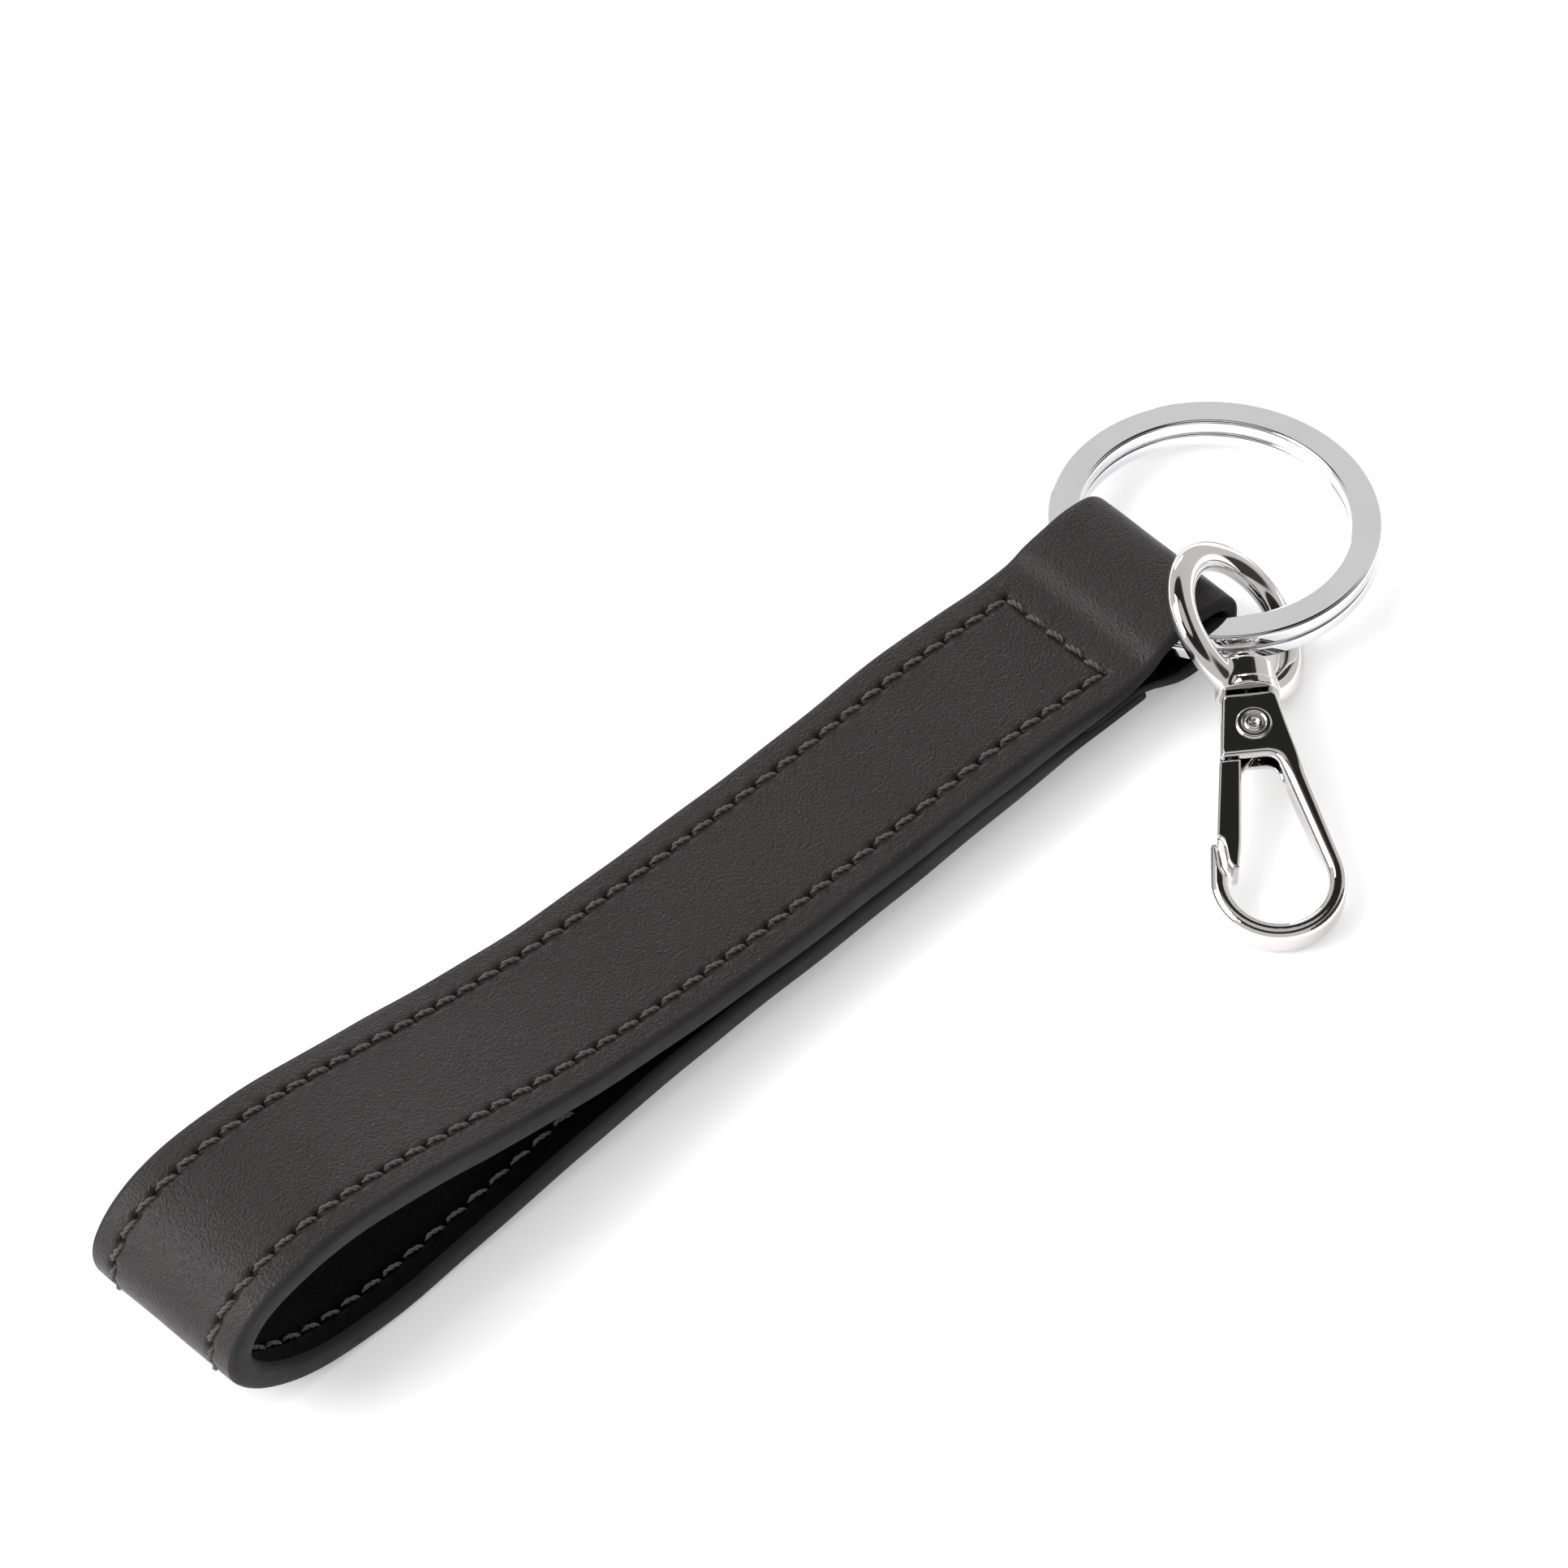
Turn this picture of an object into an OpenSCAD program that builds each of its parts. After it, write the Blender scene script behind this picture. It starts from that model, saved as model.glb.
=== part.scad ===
// Wristlet keychain: a folded, stitched leather strap, a flat-wire split ring
// held in the strap's keeper, and a small swivel snap hook on the ring.
// The strap runs along X, its width is along Y, and it lies flat on Z = 0.

/* [Strap] */
// Width of the leather strap
strap_w = 19; // [17:0.5:21]
// Width of the keeper fold that holds the ring
keeper_w = 18.4; // [16:0.2:18.8]
// Share of a leaf's thickness that is outer leather
outer_share = 0.46; // [0.4:0.01:0.55]
// Share of a leaf's thickness that is reinforcing tape
core_share = 0.14; // [0.08:0.01:0.2]

/* [Stitching] */
// Distance of a stitch row from the strap's centreline
row_y = 6.4; // [5:0.1:7.5]
// Stitches in each long row, counted right round the wrist loop
row_count = 88; // [60:1:100]
// Length of thread showing in one stitch
stitch_len = 2.0; // [1.4:0.1:2.2]
// Width of the thread
thread_w = 0.7; // [0.4:0.05:0.8]
// Height of the thread
thread_h = 0.3; // [0.2:0.05:0.35]
// Width of the groove that the thread lies in
groove_w = 0.9; // [0.85:0.05:1.2]
// Depth of the groove
groove_d = 0.42; // [0.4:0.02:0.5]

/* [Split ring] */
// Outer diameter of the split ring
ring_od = 32; // [30:0.5:33]
// Width of the flat wire
ring_band = 3; // [2.5:0.1:3.2]
// Thickness of the flat wire
ring_wire = 1.6; // [1.4:0.05:1.7]
// Gap between the two coils
coil_gap = 0.1; // [0.05:0.01:0.15]

/* [Swivel eye] */
// Diameter of the circle along the middle of the eye's bar
eye_d = 14.5; // [14:0.1:15]
// Width of the eye's bar, in the plane of the eye
eye_bar_w = 3; // [2.6:0.1:3.2]
// Thickness of the eye's bar
eye_bar_t = 2.4; // [2.2:0.1:2.8]
// Diameter of the swivel boss
boss_d = 6; // [5.4:0.1:6.4]
// Radius of the swivel stem
stem_r = 1.25; // [1:0.05:1.4]
// Radial clearance of the stem in the boss
stem_clear = 0.06; // [0.03:0.01:0.1]

/* [Snap hook] */
// Thickness of the hook body
hook_t = 3.4; // [3:0.1:3.6]
// Outer radius of the hook's bend
bend_r = 6.5; // [6.2:0.1:6.8]
// Inner radius of the hook's bend
bend_in = 4.7; // [4.5:0.1:4.8]
// Distance from the rivet to the centre of the bend
bend_u = 16.8; // [16:0.1:17]
// Radius of the gate rivet's shank
rivet_r = 0.8; // [0.6:0.05:0.9]
// Radial clearance of the gate on its rivet
gate_clear = 0.05; // [0.03:0.01:0.1]
// Width of the slot that the gate's tang turns in
slot_w = 1.7; // [1.6:0.05:1.8]

/* [Hidden] */

// ---- placing -------------------------------------------------------------
// Shift from the drawing's own origin to the middle of the footprint on the floor
shift = [3.05, 11.84, 17.32];
ring_at = [58.05, 0.05, -13.28];      // middle of the split ring
ring_tilt = 4.9;                   // far side lower
ring_roll = -3.2;                  // hook side higher
rivet_at = [42.55, -20, -12.48];  // middle of the gate rivet
hook_az = -127.9;                   // heading of the hook, from rivet to nose
hook_dip = 7.7;                    // nose below rivet
hook_roll = 0;                     // face tilt about the hook's own axis
eye_turn = 42.6;                    // turn of the eye about the stem
eye_u = -11.9;                     // middle of the eye, along the hook's axis
seam = [39.5, -11.9];              // line that the keeper bends about

module at_hook() translate(rivet_at) rotate([0, 0, hook_az]) rotate([0, hook_dip, 0]) rotate([hook_roll, 0, 0]) children();
module at_eye() at_hook() translate([eye_u, 0, 0]) rotate([-eye_turn, 0, 0]) children();
module at_ring() translate(ring_at) rotate([0, ring_tilt, 0]) rotate([ring_roll, 0, 0]) children();

// ---- strap profile -------------------------------------------------------
// Outer face of the strip and its thickness there, [x, z, thickness], from the
// lower leaf's end, round the wrist fold, along the upper leaf
route = [[39, -13.8, 1.2], [36, -13.6, 1.2], [30, -13.7, 1.7], [24, -14.1, 2.4],
  [18, -14.4, 2.8], [6, -14.6, 2.8], [-6, -14.5, 2.8], [-18, -14.4, 2.8], [-30, -14.8, 2.8],
  [-42, -16, 2.8], [-52, -17, 2.8], [-60, -17.3, 2.8], [-67, -16.6, 2.8],
  [-72.5, -14.8, 2.8], [-77, -11.8, 2.8], [-79.8, -7.8, 2.8], [-80, -4, 2.8],
  [-77.8, -0.6, 2.8], [-74, 1.5, 2.8], [-68.5, 2.4, 2.8], [-62, 2, 2.8], [-55, 0.5, 2.8],
  [-46, -1.9, 2.8], [-36, -4.5, 2.8], [-26, -6.4, 2.8], [-14, -7.6, 2.8], [-2, -8.2, 2.8],
  [10, -8.4, 2.8], [18, -8.2, 2.8], [24, -8.4, 2.5], [30, -9.1, 2], [35, -9.9, 1.7], [39, -9.9, 1.6]];
// The same for the keeper, from the seam over the top, round the fold and back
keeper_route = [[36.5, -10.1, 1.6], [39, -9.7, 1.6], [41.4, -8.5, 1.6], [44.5, -8.1, 1.6],
  [47.3, -8.1, 1.6], [50.1, -8.8, 1.6], [51.7, -10.5, 1.6], [52, -12.4, 1.6], [51.5, -14.2, 1.6],
  [49.9, -15.9, 1.6], [47, -16.6, 1.6], [44, -16.2, 1.5], [41.5, -15.1, 1.3], [39, -14.1, 1.1], [37, -13.9, 1]];

// Point at parameter t of a smooth curve through the rows of table
function tr(table, i) = table[min(max(i, 0), len(table) - 1)];
function curve(table, t) = let (i = min(floor(t), len(table) - 2), f = t - i,
    a = tr(table, i - 1), b = tr(table, i), c = tr(table, i + 1), d = tr(table, i + 2))
  0.5 * (2 * b + (c - a) * f + (2 * a - 5 * b + 4 * c - d) * f * f + (3 * b - a - 3 * c + d) * f * f * f);
// Inward direction of the strip at t
function inward(table, t) = let (e = 0.02, last = len(table) - 1,
    p = curve(table, max(t - e, 0)), q = curve(table, min(t + e, last)),
    dx = q[0] - p[0], dz = q[1] - p[1], l = sqrt(dx * dx + dz * dz)) [dz / l, -dx / l];
// Point at a given share of the thickness below the outer face, plus a plain depth
function depth(table, t, share, d = 0) = let (p = curve(table, t), n = inward(table, t))
  [p[0], p[1]] + n * (share * p[2] + d);
// Closed outline of a layer between two depths, from t0 to t1
per = 6;        // stations to a row of a route table
function layer(table, t0, t1, s0, s1, d0 = 0, d1 = 0) = let (steps = round((t1 - t0) * per)) concat(
  [for (i = [0:steps]) depth(table, t0 + (t1 - t0) * i / steps, s0, d0)],
  [for (i = [steps:-1:0]) depth(table, t0 + (t1 - t0) * i / steps, s1, d1)]);

// A profile in x and z, extruded to a width about the strap's centreline
module band(pts, w, y = 0) translate([0, y + w / 2, 0]) rotate([90, 0, 0]) linear_extrude(height = w) polygon(pts);

t_last = len(route) - 1;
k_last = len(keeper_route) - 1;
t_up = 31;      // where the upper leaf starts to be stitched to the tail

// Keeper seam clearance, a round relief about the line that the keeper bends on
module seam_relief(r) translate([seam[0], strap_w / 2 + 1, seam[1]]) rotate([90, 0, 0]) cylinder(r = r, h = strap_w + 2, $fn = 64);
module beyond_seam(side) translate([seam[0] + (side < 0 ? -30 : 0), -strap_w / 2 - 1, -25]) cube([30, strap_w + 2, 30]);

module outer_leather() color([0.20, 0.19, 0.19]) translate(shift) difference() {
  band(layer(route, 0, t_last, 0, outer_share), strap_w);
  for (s = [-1, 1]) band(layer(route, 1.5, t_last - 1.5, 0, 0, -0.5, groove_d), groove_w, s * row_y);
  translate([cross_x - groove_w / 2, -row_y, -9.92 - groove_d]) rotate([0, cross_slope, 0]) cube([groove_w, 2 * row_y, 2]);
  seam_relief(2.75);
}
// Side of the lining that meets the outer leather and, between the tape's ends, the tape
tape_t0 = 3;
function layer_side(t0, t1, share) = [for (i = [t0 * per:t1 * per]) depth(route, i / per, share)];
function lining_top(i) = depth(route, i / per, outer_share + (i > tape_t0 * per - 1 && i < (t_last - tape_t0) * per + 1 ? core_share : 0));
module lining_leather() color([0.06, 0.06, 0.06]) translate(shift) difference() {
  union() {
    band(concat(layer_side(0, t_last, 1), [for (i = [t_last * per:-1:0]) lining_top(i)]), strap_w);
  }
  for (s = [-1, 1]) band(layer(route, 4.5, t_last - 4.5, 1, 1, -groove_d, 0.5), groove_w, s * row_y);
  seam_relief(2.75);
}
module core_tape() color([0.5, 0.47, 0.42]) translate(shift)
  band(layer(route, tape_t0, t_last - tape_t0, outer_share, outer_share + core_share), strap_w - 1.6);

// End of the strip, folded back and stitched in between the two leaves
tail_gap = 0.03;     // glue line on each side of the tail
module keeper_tail() color([0.16, 0.15, 0.15]) translate(shift) difference() {
  band(concat([for (i = [0:15]) depth(route, t_last - 2.5 + i / per, 1, tail_gap)], [for (i = [0:15]) depth(route, i / per, 1, tail_gap)]), strap_w - 0.6);
  seam_relief(2.75);
}

// ---- stitching -----------------------------------------------------------
cross_x = 36.1;
cross_slope = -3;
// One stitch, sunk in its groove, at parameter t of the strip
module stitch(t, y, share, d, tip = 0) let (p = depth(route, t, share, d), n = inward(route, t))
  translate([p[0], y, p[1]]) rotate([0, atan2(n[0], n[1]), 0]) rotate([0, 0, tip])
    translate([-stitch_len / 2, -thread_w / 2, -thread_h / 2]) cube([stitch_len, thread_w, thread_h]);
// Even spacing along the strip, worked out from its length
row_steps = 400;
function seg(t0, t1, i) = let (p = depth(route, t0 + (t1 - t0) * i / row_steps, 0), q = depth(route, t0 + (t1 - t0) * (i + 1) / row_steps, 0)) norm(q - p);
function sums(t0, t1, i = 0, acc = [0]) = i >= row_steps ? acc : sums(t0, t1, i + 1, concat(acc, [acc[i] + seg(t0, t1, i)]));
function place(table, s, i = 0) = i >= len(table) - 2 || table[i + 1] >= s ? i + (s - table[i]) / max(table[i + 1] - table[i], 0.0001) : place(table, s, i + 1);
row_t0 = 1.5;
row_t1 = t_last - 1.7;
run = sums(row_t0, row_t1);
bob_t0 = 4.8;
bob_t1 = t_last - 4.8;
bob = sums(bob_t0, bob_t1);
function even(table, t0, t1, n, i) = t0 + (t1 - t0) * place(table, table[row_steps] * (i + 0.5) / n) / row_steps;
module stitch_row(s) for (i = [0:row_count - 1])
  stitch(even(run, row_t0, row_t1, row_count, i), s * row_y, 0, groove_d - thread_h / 2 - 0.06);
module bobbin_row(s) let (n = round(bob[row_steps] / run[row_steps] * row_count)) for (i = [0:n - 1])
  stitch(even(bob, bob_t0, bob_t1, n, i), s * row_y, 1, -(groove_d - thread_h / 2 - 0.115));

module stitch_row_left() color([0.13, 0.13, 0.13]) translate(shift) stitch_row(1);
module stitch_row_right() color([0.13, 0.13, 0.13]) translate(shift) stitch_row(-1);
module bobbin_row_left() color([0.3, 0.3, 0.3]) translate(shift) bobbin_row(1);
module bobbin_row_right() color([0.3, 0.3, 0.3]) translate(shift) bobbin_row(-1);
module cross_stitching() color([0.13, 0.13, 0.13]) translate(shift)
  for (i = [-1.5:1:1.5]) translate([cross_x, i * 2.9, -9.92 - groove_d + 0.2]) rotate([0, cross_slope, 0])
    translate([-thread_w / 2, -stitch_len / 2, -thread_h / 2]) cube([thread_w, stitch_len, thread_h]);

// ---- keeper --------------------------------------------------------------
keeper_share = 0.62;
module keeper_half(s0, s1) difference() {
  intersection() {
    band(layer(keeper_route, 0, k_last, s0, s1), keeper_w);
    union() { seam_relief(2.45); beyond_seam(1); }
  }
}
module keeper_leather() color([0.21, 0.20, 0.20]) translate(shift) keeper_half(0, keeper_share);
module keeper_lining() color([0.06, 0.06, 0.06]) translate(shift) keeper_half(keeper_share, 1);

// ---- split ring ----------------------------------------------------------
ring_r1 = ring_od / 2;
ring_r0 = ring_r1 - ring_band;
ring_ch = 0.3;
jog = 14;            // half the angle of the step between the coils
jog_at = 176;        // where the step lies round the ring
// Chamfered section of the flat wire
function wire(r, z) = [[r[0] + ring_ch, z[0]], [r[1] - ring_ch, z[0]], [r[1], z[0] + ring_ch], [r[1], z[1] - ring_ch],
  [r[1] - ring_ch, z[1]], [r[0] + ring_ch, z[1]], [r[0], z[1] - ring_ch], [r[0], z[0] + ring_ch]];
ring_hi = coil_gap / 2;
module coil(z0) rotate([0, 0, jog_at + jog]) rotate_extrude(angle = 360 - 2 * jog, $fn = 180)
  polygon(wire([ring_r0, ring_r1], [z0, z0 + ring_wire]));
step_in = 0.02;      // the step is this much slimmer than the coils that it joins
module coil_step() let (n = 12, lo = -ring_hi - ring_wire, sec = wire([ring_r0 + step_in, ring_r1 - step_in], [step_in, ring_wire - step_in]), m = len(sec),
    pts = [for (i = [0:n]) let (f = i / n, g = f * f * (3 - 2 * f), a = jog_at - jog - 0.5 + (2 * jog + 1) * f)
      for (p = sec) [p[0] * cos(a), p[0] * sin(a), p[1] + lo + (ring_hi - lo) * g]])
  polyhedron(points = pts, faces = concat(
    [[for (k = [m - 1:-1:0]) k]],
    [for (i = [0:n - 1]) for (k = [0:m - 1]) let (a = i * m + k, b = i * m + (k + 1) % m) each [[a, b + m, a + m], [a, b, b + m]]],
    [[for (k = [0:m - 1]) n * m + k]]), convexity = 4);
module split_ring() color([0.80, 0.80, 0.81]) translate(shift) at_ring() union() {
  coil(ring_hi);
  coil(-ring_hi - ring_wire);
  coil_step();
}

// ---- swivel eye ----------------------------------------------------------
boss_in = 4.9;       // inner end of the boss, from the middle of the eye
boss_out = 8.2;      // outer end of the boss
// Rounded-oval section of the bar, as a list of points
function oval(w, h, n) = [for (i = [0:n - 1]) let (a = 360 * i / n, c = cos(a), s = sin(a))
  [sign(c) * pow(abs(c), 0.8) * w / 2, sign(s) * pow(abs(s), 0.8) * h / 2]];
module swivel_eye() color([0.78, 0.77, 0.76]) translate(shift) at_eye() difference() {
  union() {
    rotate_extrude($fn = 120) polygon([for (p = oval(eye_bar_w, eye_bar_t, 24)) [eye_d / 2 + p[0], p[1]]]);
    translate([boss_in, 0, 0]) rotate([0, 90, 0]) rotate_extrude($fn = 64)
      polygon([[0, 0], [boss_d / 2 - 0.8, 0], [boss_d / 2 - 0.2, 0.4], [boss_d / 2, 1.1], [boss_d / 2, boss_out - boss_in - 0.4],
               [boss_d / 2 - 0.4, boss_out - boss_in], [0, boss_out - boss_in]]);
  }
  translate([boss_in - 1, 0, 0]) rotate([0, 90, 0]) cylinder(r = stem_r + stem_clear, h = boss_out - boss_in + 2, $fn = 48);
  // flat foot under the boss
  translate([boss_out, -6, -4]) cube([3, 12, 8]);
}

// ---- snap hook -----------------------------------------------------------
// In the hook's own frame: u along it from rivet to nose, v across, w through its face
block_u0 = -3.5;     // top of the block
block_u1 = 3.3;      // bottom of the block
module plate(pts, h = hook_t) translate([0, 0, -h / 2]) linear_extrude(height = h) polygon(pts);
module disc(r, h, fn = 90) translate([0, 0, -h / 2]) cylinder(r = r, h = h, $fn = fn);

module hook_body() color([0.78, 0.77, 0.76]) translate(shift) at_hook() difference() {
  union() {
    // block with rounded top corners
    plate([[block_u0, -2.2], [block_u0 + 0.15, -2.5], [block_u0 + 0.5, -2.75], [block_u1, -3.6], [block_u1, 3.6], [block_u0 + 0.5, 2.75], [block_u0 + 0.15, 2.5], [block_u0, 2.2]]);
    // solid arm down the closed side
    plate([[1.5, 3.4], [bend_u + 1.4, bend_r - 0.16], [bend_u + 1.4, bend_in], [bend_u - 1.1, bend_in - 0.12], [2.6, 1.5], [1.5, 1.5]]);
    // bend and nose
    translate([bend_u, 0, 0]) difference() {
      disc(bend_r, hook_t);
      disc(bend_in, hook_t + 2);
      translate([-20, -10, -5]) cube([20, 20, 10]);
    }
    plate([[12.5, -5.95], [bend_u + 0.1, -bend_r], [bend_u + 0.1, -bend_in], [15.9, -4.6], [14.9, -4.95], [12.9, -5.05], [12.4, -5.3], [12.25, -5.6]]);
  }
  // rivet hole through both cheeks
  disc(rivet_r, hook_t + 2, 48);
  // slot for the gate's tang
  translate([-2, -4.2, -slot_w / 2]) cube([6, 6.6, slot_w]);
  // socket for the swivel stem
  translate([block_u0 - 0.5, 0, 0]) rotate([0, 90, 0]) cylinder(r = stem_r, h = 1.7, $fn = 48);
}

module swivel_stem() color([0.72, 0.71, 0.70]) translate(shift) at_hook() {
  translate([eye_u + boss_in - 1.1, 0, 0]) rotate([0, 90, 0]) rotate_extrude($fn = 64)
    polygon([[0, 0], [1.5, 0], [2.0, 0.35], [2.0, 1.0], [stem_r, 1.0], [stem_r, block_u0 + 1.15 - eye_u - boss_in + 1.1], [0, block_u0 + 1.15 - eye_u - boss_in + 1.1]]);
}

module gate_rivet() color([0.82, 0.81, 0.80]) translate(shift) at_hook() {
  translate([0, 0, -hook_t / 2 - 0.22]) rotate_extrude($fn = 64)
    polygon([[0, 0.1], [0.55, 0.1], [0.75, 0], [1.5, 0], [1.7, 0.12], [1.7, 0.2], [rivet_r, 0.2], [rivet_r, hook_t + 0.24],
             [1.7, hook_t + 0.24], [1.7, hook_t + 0.32], [1.5, hook_t + 0.44], [0.75, hook_t + 0.44], [0.55, hook_t + 0.3], [0, hook_t + 0.3]]);
}

tang_t = 0.75;       // thickness of the gate's tang
tang_w0 = -0.8;      // its lower face
module gate() color([0.78, 0.77, 0.76]) translate(shift) at_hook() difference() {
  union() {
    // bar, with a notch that the nose sits in
    plate([[block_u1 + 0.35, -3.75], [12.0, -5.15], [12.05, -5.0], [12.3, -4.75], [12.9, -4.6], [14.6, -4.5], [15.4, -4.2], [15.6, -3.95], [15.4, -3.6], [12.5, -3.15], [block_u1 + 0.35, -1.9]]);
    // tang in the slot
    translate([0, 0, tang_w0]) linear_extrude(height = tang_t) polygon([[-0.9, -1.4], [0.6, -1.7], [block_u1 + 0.5, -3.3], [block_u1 + 0.5, -1.95], [2.4, -0.2], [1.55, 0.7], [0.8, 1.4], [-0.6, 1.5], [-1.4, 0.8], [-1.6, -0.4]]);
    translate([0, 0, tang_w0]) cylinder(r = 1.6, h = tang_t, $fn = 48);
  }
  disc(rivet_r + gate_clear, hook_t + 2, 48);
}

// Small torsion spring round the rivet, beside the tang
module gate_spring() color([0.45, 0.45, 0.47]) translate(shift) at_hook() union() {
  for (z = [0.17, 0.46]) translate([0, 0, z]) rotate_extrude($fn = 60) translate([1.18, 0]) circle(r = 0.15, $fn = 16);
  translate([1.18, 0, 0.315]) rotate([0, 0, 0]) cylinder(r = 0.15, h = 0.3, center = true, $fn = 16);
  translate([0, 1.18, 0.46]) rotate([0, -90, 0]) cylinder(r = 0.15, h = 1.7, $fn = 16);
  translate([0, 1.18, 0.17]) rotate([0, 90, 0]) cylinder(r = 0.15, h = 2.0, $fn = 16);
}

outer_leather();
lining_leather();
core_tape();
keeper_tail();
stitch_row_left();
stitch_row_right();
cross_stitching();
bobbin_row_left();
bobbin_row_right();
keeper_leather();
keeper_lining();
split_ring();
swivel_eye();
hook_body();
swivel_stem();
gate_rivet();
gate_spring();
gate();
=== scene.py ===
import math

import bpy
import numpy as np
from mathutils import Matrix, Vector


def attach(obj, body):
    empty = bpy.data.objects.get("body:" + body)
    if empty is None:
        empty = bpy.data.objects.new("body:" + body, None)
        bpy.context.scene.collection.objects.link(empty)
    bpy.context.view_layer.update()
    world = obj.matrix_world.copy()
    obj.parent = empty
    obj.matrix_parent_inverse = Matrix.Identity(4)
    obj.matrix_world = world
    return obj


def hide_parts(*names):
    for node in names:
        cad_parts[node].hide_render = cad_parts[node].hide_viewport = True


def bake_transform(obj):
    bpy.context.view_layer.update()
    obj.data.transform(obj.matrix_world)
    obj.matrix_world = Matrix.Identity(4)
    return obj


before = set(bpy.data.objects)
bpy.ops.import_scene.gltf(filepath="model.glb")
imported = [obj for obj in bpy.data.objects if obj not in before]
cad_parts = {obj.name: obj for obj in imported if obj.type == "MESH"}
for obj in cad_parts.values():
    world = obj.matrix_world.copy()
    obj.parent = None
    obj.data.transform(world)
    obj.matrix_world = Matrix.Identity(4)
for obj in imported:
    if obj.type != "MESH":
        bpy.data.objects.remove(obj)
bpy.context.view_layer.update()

# Everything below is drawn in millimetres in the part's working frame, and
# moved by SHIFT (mm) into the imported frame, which is in metres.
SHIFT = np.array([3.05, 11.84, 17.32])

# ---------------------------------------------------------------- camera
scene = bpy.context.scene
cam_data = bpy.data.cameras.new("camera")
cam_data.lens = 345.7
cam_data.sensor_width = 36
cam_data.clip_start, cam_data.clip_end = 0.05, 20
cam = bpy.data.objects.new("camera", cam_data)
scene.collection.objects.link(cam)
back = Vector((-0.43536, -0.43536, 0.78801)).normalized()
target = Vector(SHIFT / 1000)
cam.location = target + back * 1.4
cam.rotation_mode = "QUATERNION"
cam.rotation_quaternion = back.to_track_quat("Z", "Y")
scene.camera = cam
scene.view_settings.view_transform = "Standard"
scene.view_settings.look = "None"


# ---------------------------------------------------------------- materials
class Nodes:
    def __init__(self, name):
        self.m = bpy.data.materials.new(name)
        self.m.use_nodes = True
        self.t = self.m.node_tree
        self.p = next(n for n in self.t.nodes if n.type == "BSDF_PRINCIPLED")
        self.xyz = self.t.nodes.new("ShaderNodeTexCoord").outputs["Object"]

    def node(self, kind, **inputs):
        n = self.t.nodes.new("ShaderNode" + kind)
        for k, v in inputs.items():
            k = k.replace("_", " ")
            if hasattr(v, "is_linked") or hasattr(v, "links"):
                self.t.links.new(v, n.inputs[k])
            else:
                n.inputs[k].default_value = v
        return n

    def noise(self, scale, detail=2.0, rough=0.5, vec=None):
        return self.node("TexNoise", Vector=vec or self.xyz, Scale=scale, Detail=detail, Roughness=rough).outputs["Fac"]

    def cells(self, scale, smooth=0.6, rand=1.0, vec=None):
        n = self.t.nodes.new("ShaderNodeTexVoronoi")
        n.feature = "SMOOTH_F1"
        self.t.links.new(vec or self.xyz, n.inputs["Vector"])
        n.inputs["Scale"].default_value = scale
        n.inputs["Smoothness"].default_value = smooth
        n.inputs["Randomness"].default_value = rand
        return n.outputs["Distance"]

    def span(self, value, a, b, c, d):
        n = self.node("MapRange")
        self.t.links.new(value, n.inputs["Value"])
        for k, v in zip(("From Min", "From Max", "To Min", "To Max"), (a, b, c, d)):
            n.inputs[k].default_value = v
        return n.outputs["Result"]

    def math(self, op, a, b):
        n = self.t.nodes.new("ShaderNodeMath")
        n.operation = op
        for i, v in enumerate((a, b)):
            if isinstance(v, (int, float)):
                n.inputs[i].default_value = v
            else:
                self.t.links.new(v, n.inputs[i])
        return n.outputs[0]

    def mix(self, fac, a, b):
        n = self.t.nodes.new("ShaderNodeMix")
        n.data_type = "RGBA"
        self.t.links.new(fac, n.inputs[0])
        for i, v in ((6, a), (7, b)):
            if isinstance(v, tuple):
                n.inputs[i].default_value = v
            else:
                self.t.links.new(v, n.inputs[i])
        return n.outputs[2]

    def bump(self, height, distance, strength=1.0, normal=None):
        n = self.t.nodes.new("ShaderNodeBump")
        n.inputs["Strength"].default_value = strength
        n.inputs["Distance"].default_value = distance
        self.t.links.new(height, n.inputs["Height"])
        if normal:
            self.t.links.new(normal, n.inputs["Normal"])
        return n.outputs["Normal"]

    def attr(self, name):
        n = self.t.nodes.new("ShaderNodeAttribute")
        n.attribute_name = name
        return n.outputs["Fac"]

    def set(self, **inputs):
        for k, v in inputs.items():
            k = k.replace("_", " ")
            if hasattr(v, "links"):
                self.t.links.new(v, self.p.inputs[k])
            else:
                self.p.inputs[k].default_value = v
        return self.m


def leather():
    n = Nodes("smooth_calf_leather")
    fine = n.noise(3800, 2, 0.55)
    mid = n.cells(2100, 0.8)
    soft = n.noise(420, 3, 0.6)
    wide = n.noise(55, 2)
    pore = n.noise(5200, 2, 0.6)
    tone = n.mix(n.span(wide, 0.35, 0.65, 0, 1), (0.0184, 0.0139, 0.0148, 1), (0.0214, 0.0164, 0.0173, 1))
    tone = n.mix(n.span(pore, 0.40, 0.60, 0, 0.62), tone, (0.0110, 0.0088, 0.0088, 1))
    # painted shade: the stitch holes are darkened nearly black in colour
    tone = n.mix(n.attr("hole_dip_and_shade"), tone, (0.0015, 0.0014, 0.0014, 1))
    b1 = n.bump(n.math("ADD", n.math("MULTIPLY", fine, 1.55), n.math("MULTIPLY", mid, 0.12)), 0.00010, 1.0)
    b2 = n.bump(soft, 0.00008, 0.04, b1)
    rough = n.span(n.noise(900, 2), 0.3, 0.7, 0.33, 0.45)
    return n.set(Base_Color=tone, Roughness=rough, Normal=b2, Specular_IOR_Level=0.29)


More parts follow.
